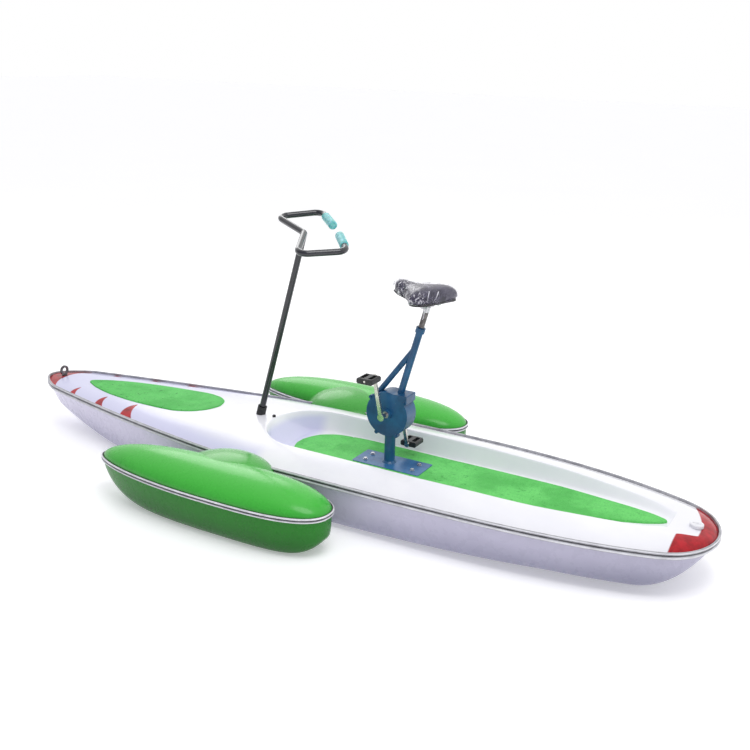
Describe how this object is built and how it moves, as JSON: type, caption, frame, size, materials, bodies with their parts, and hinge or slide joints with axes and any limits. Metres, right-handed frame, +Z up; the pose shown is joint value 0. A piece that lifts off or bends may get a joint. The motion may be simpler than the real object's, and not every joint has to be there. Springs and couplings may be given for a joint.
{
  "type": "pedal boat",
  "caption": "Single-seat pedal trimaran: slim hull with two short side floats, raked steering column, pedal drive on a pedestal and a saddle.",
  "frame": {"origin": "on the ground under the flat keel, on the centreline amidships", "axes": "+X to the bow, +Y to port, +Z up"},
  "size_m": [3.078, 1.336, 1.0722],
  "materials": {
    "hull_gelcoat": "glossy gelcoat, faint lavender white",
    "deck_gelcoat": "glossy white gelcoat",
    "deck_foam": "matt green deck foam",
    "float_green": "glossy light green gelcoat",
    "float_green_deep": "glossy mid green gelcoat",
    "rub_rail": "grey rub rail with pale edges",
    "stainless": "stainless steel",
    "white_plastic": "white moulded plastic",
    "black_rubber": "black rubber",
    "black_paint": "satin black paint",
    "grip_teal": "soft teal grip",
    "black_plastic": "black moulded plastic",
    "blue_paint": "blue enamel paint",
    "gear_steel": "machined steel",
    "chrome": "polished alloy",
    "pedal_black": "black moulded plastic",
    "saddle_cover": "dark vinyl under clear film"
  },
  "bodies": {
    "hull": {"hull_shell": "hull_gelcoat", "deck_shell": "deck_gelcoat", "hull_rub_rail": "rub_rail", "fore_pad": "deck_foam", "aft_pad": "deck_foam", "tow_eye": "stainless", "stern_plug": "white_plastic", "deck_stud": "black_rubber", "float_bottom_port": "float_green_deep", "float_bottom_stbd": "float_green_deep", "float_top_port": "float_green", "float_top_stbd": "float_green", "float_rail_port": "rub_rail", "float_rail_stbd": "rub_rail", "arm_fairing_port": "float_green", "arm_fairing_stbd": "float_green", "cross_tube_fore": "stainless", "cross_tube_aft": "stainless", "column_collar": "black_rubber", "rudder_trunk": "black_rubber", "column_bush_upper": "white_plastic", "column_bush_lower": "white_plastic", "base_plate": "blue_paint", "plate_bolts": "stainless", "pedestal": "blue_paint", "gear_case": "blue_paint", "case_cover": "blue_paint", "case_screws": "stainless", "axle_bearing_port": "gear_steel", "axle_bearing_stbd": "gear_steel", "shaft_bearing": "gear_steel", "seat_frame": "blue_paint", "seat_collar": "blue_paint", "lower_leg": "blue_paint", "leg_bearing": "gear_steel", "prop_bearing": "gear_steel"},
    "steering": {"steering_column": "black_paint", "handlebar": "black_paint", "grip_port": "grip_teal", "grip_stbd": "grip_teal", "rudder_blade": "black_plastic"},
    "crankset": {"crank_axle": "chrome", "crank_gear": "gear_steel", "crank_arm_port": "chrome", "crank_arm_stbd": "chrome", "pedal_spindle_port": "chrome", "pedal_spindle_stbd": "chrome"},
    "pedal_port": {"pedal_body_port": "pedal_black"},
    "pedal_stbd": {"pedal_body_stbd": "pedal_black"},
    "upright_shaft": {"drive_shaft": "stainless", "upper_pinion": "gear_steel", "lower_pinion": "gear_steel"},
    "screw": {"prop_shaft": "stainless", "prop_gear": "gear_steel", "propeller": "black_plastic"},
    "seat": {"seat_post": "chrome", "saddle_clamp": "stainless", "saddle_rails": "stainless", "saddle_base": "black_plastic", "saddle": "saddle_cover"}
  },
  "joints": [
    {"name": "steering", "type": "hinge", "parent": "hull", "child": "steering", "pos_m": [0.256, 0, 0.235], "axis": [-0.2588, 0, 0.9659], "range_deg": [-91, 0]},
    {"name": "crank_spin", "type": "hinge", "parent": "hull", "child": "crankset", "pos_m": [-0.357, 0, 0.368], "axis": [0, 1, 0], "continuous": true},
    {"name": "pedal_port_spin", "type": "hinge", "parent": "crankset", "child": "pedal_port", "pos_m": [-0.32237, 0.122, 0.52421], "axis": [0, 1, 0], "continuous": true},
    {"name": "pedal_stbd_spin", "type": "hinge", "parent": "crankset", "child": "pedal_stbd", "pos_m": [-0.39163, -0.122, 0.21179], "axis": [0, 1, 0], "continuous": true},
    {"name": "upright_shaft_spin", "type": "hinge", "parent": "hull", "child": "upright_shaft", "pos_m": [-0.357, 0, 0.2], "axis": [0, 0, 1], "continuous": true},
    {"name": "screw_spin", "type": "hinge", "parent": "hull", "child": "screw", "pos_m": [-0.42, 0, 0.066], "axis": [1, 0, 0], "continuous": true},
    {"name": "seat_height", "type": "slide", "parent": "hull", "child": "seat", "axis": [-0.2631, 0, 0.9648], "range_m": [0, 0.06]}
  ],
  "couplings": [
    {"joint": "upright_shaft_spin", "follows": "crank_spin", "ratio": 2.7778},
    {"joint": "screw_spin", "follows": "crank_spin", "ratio": 2.7778}
  ]
}
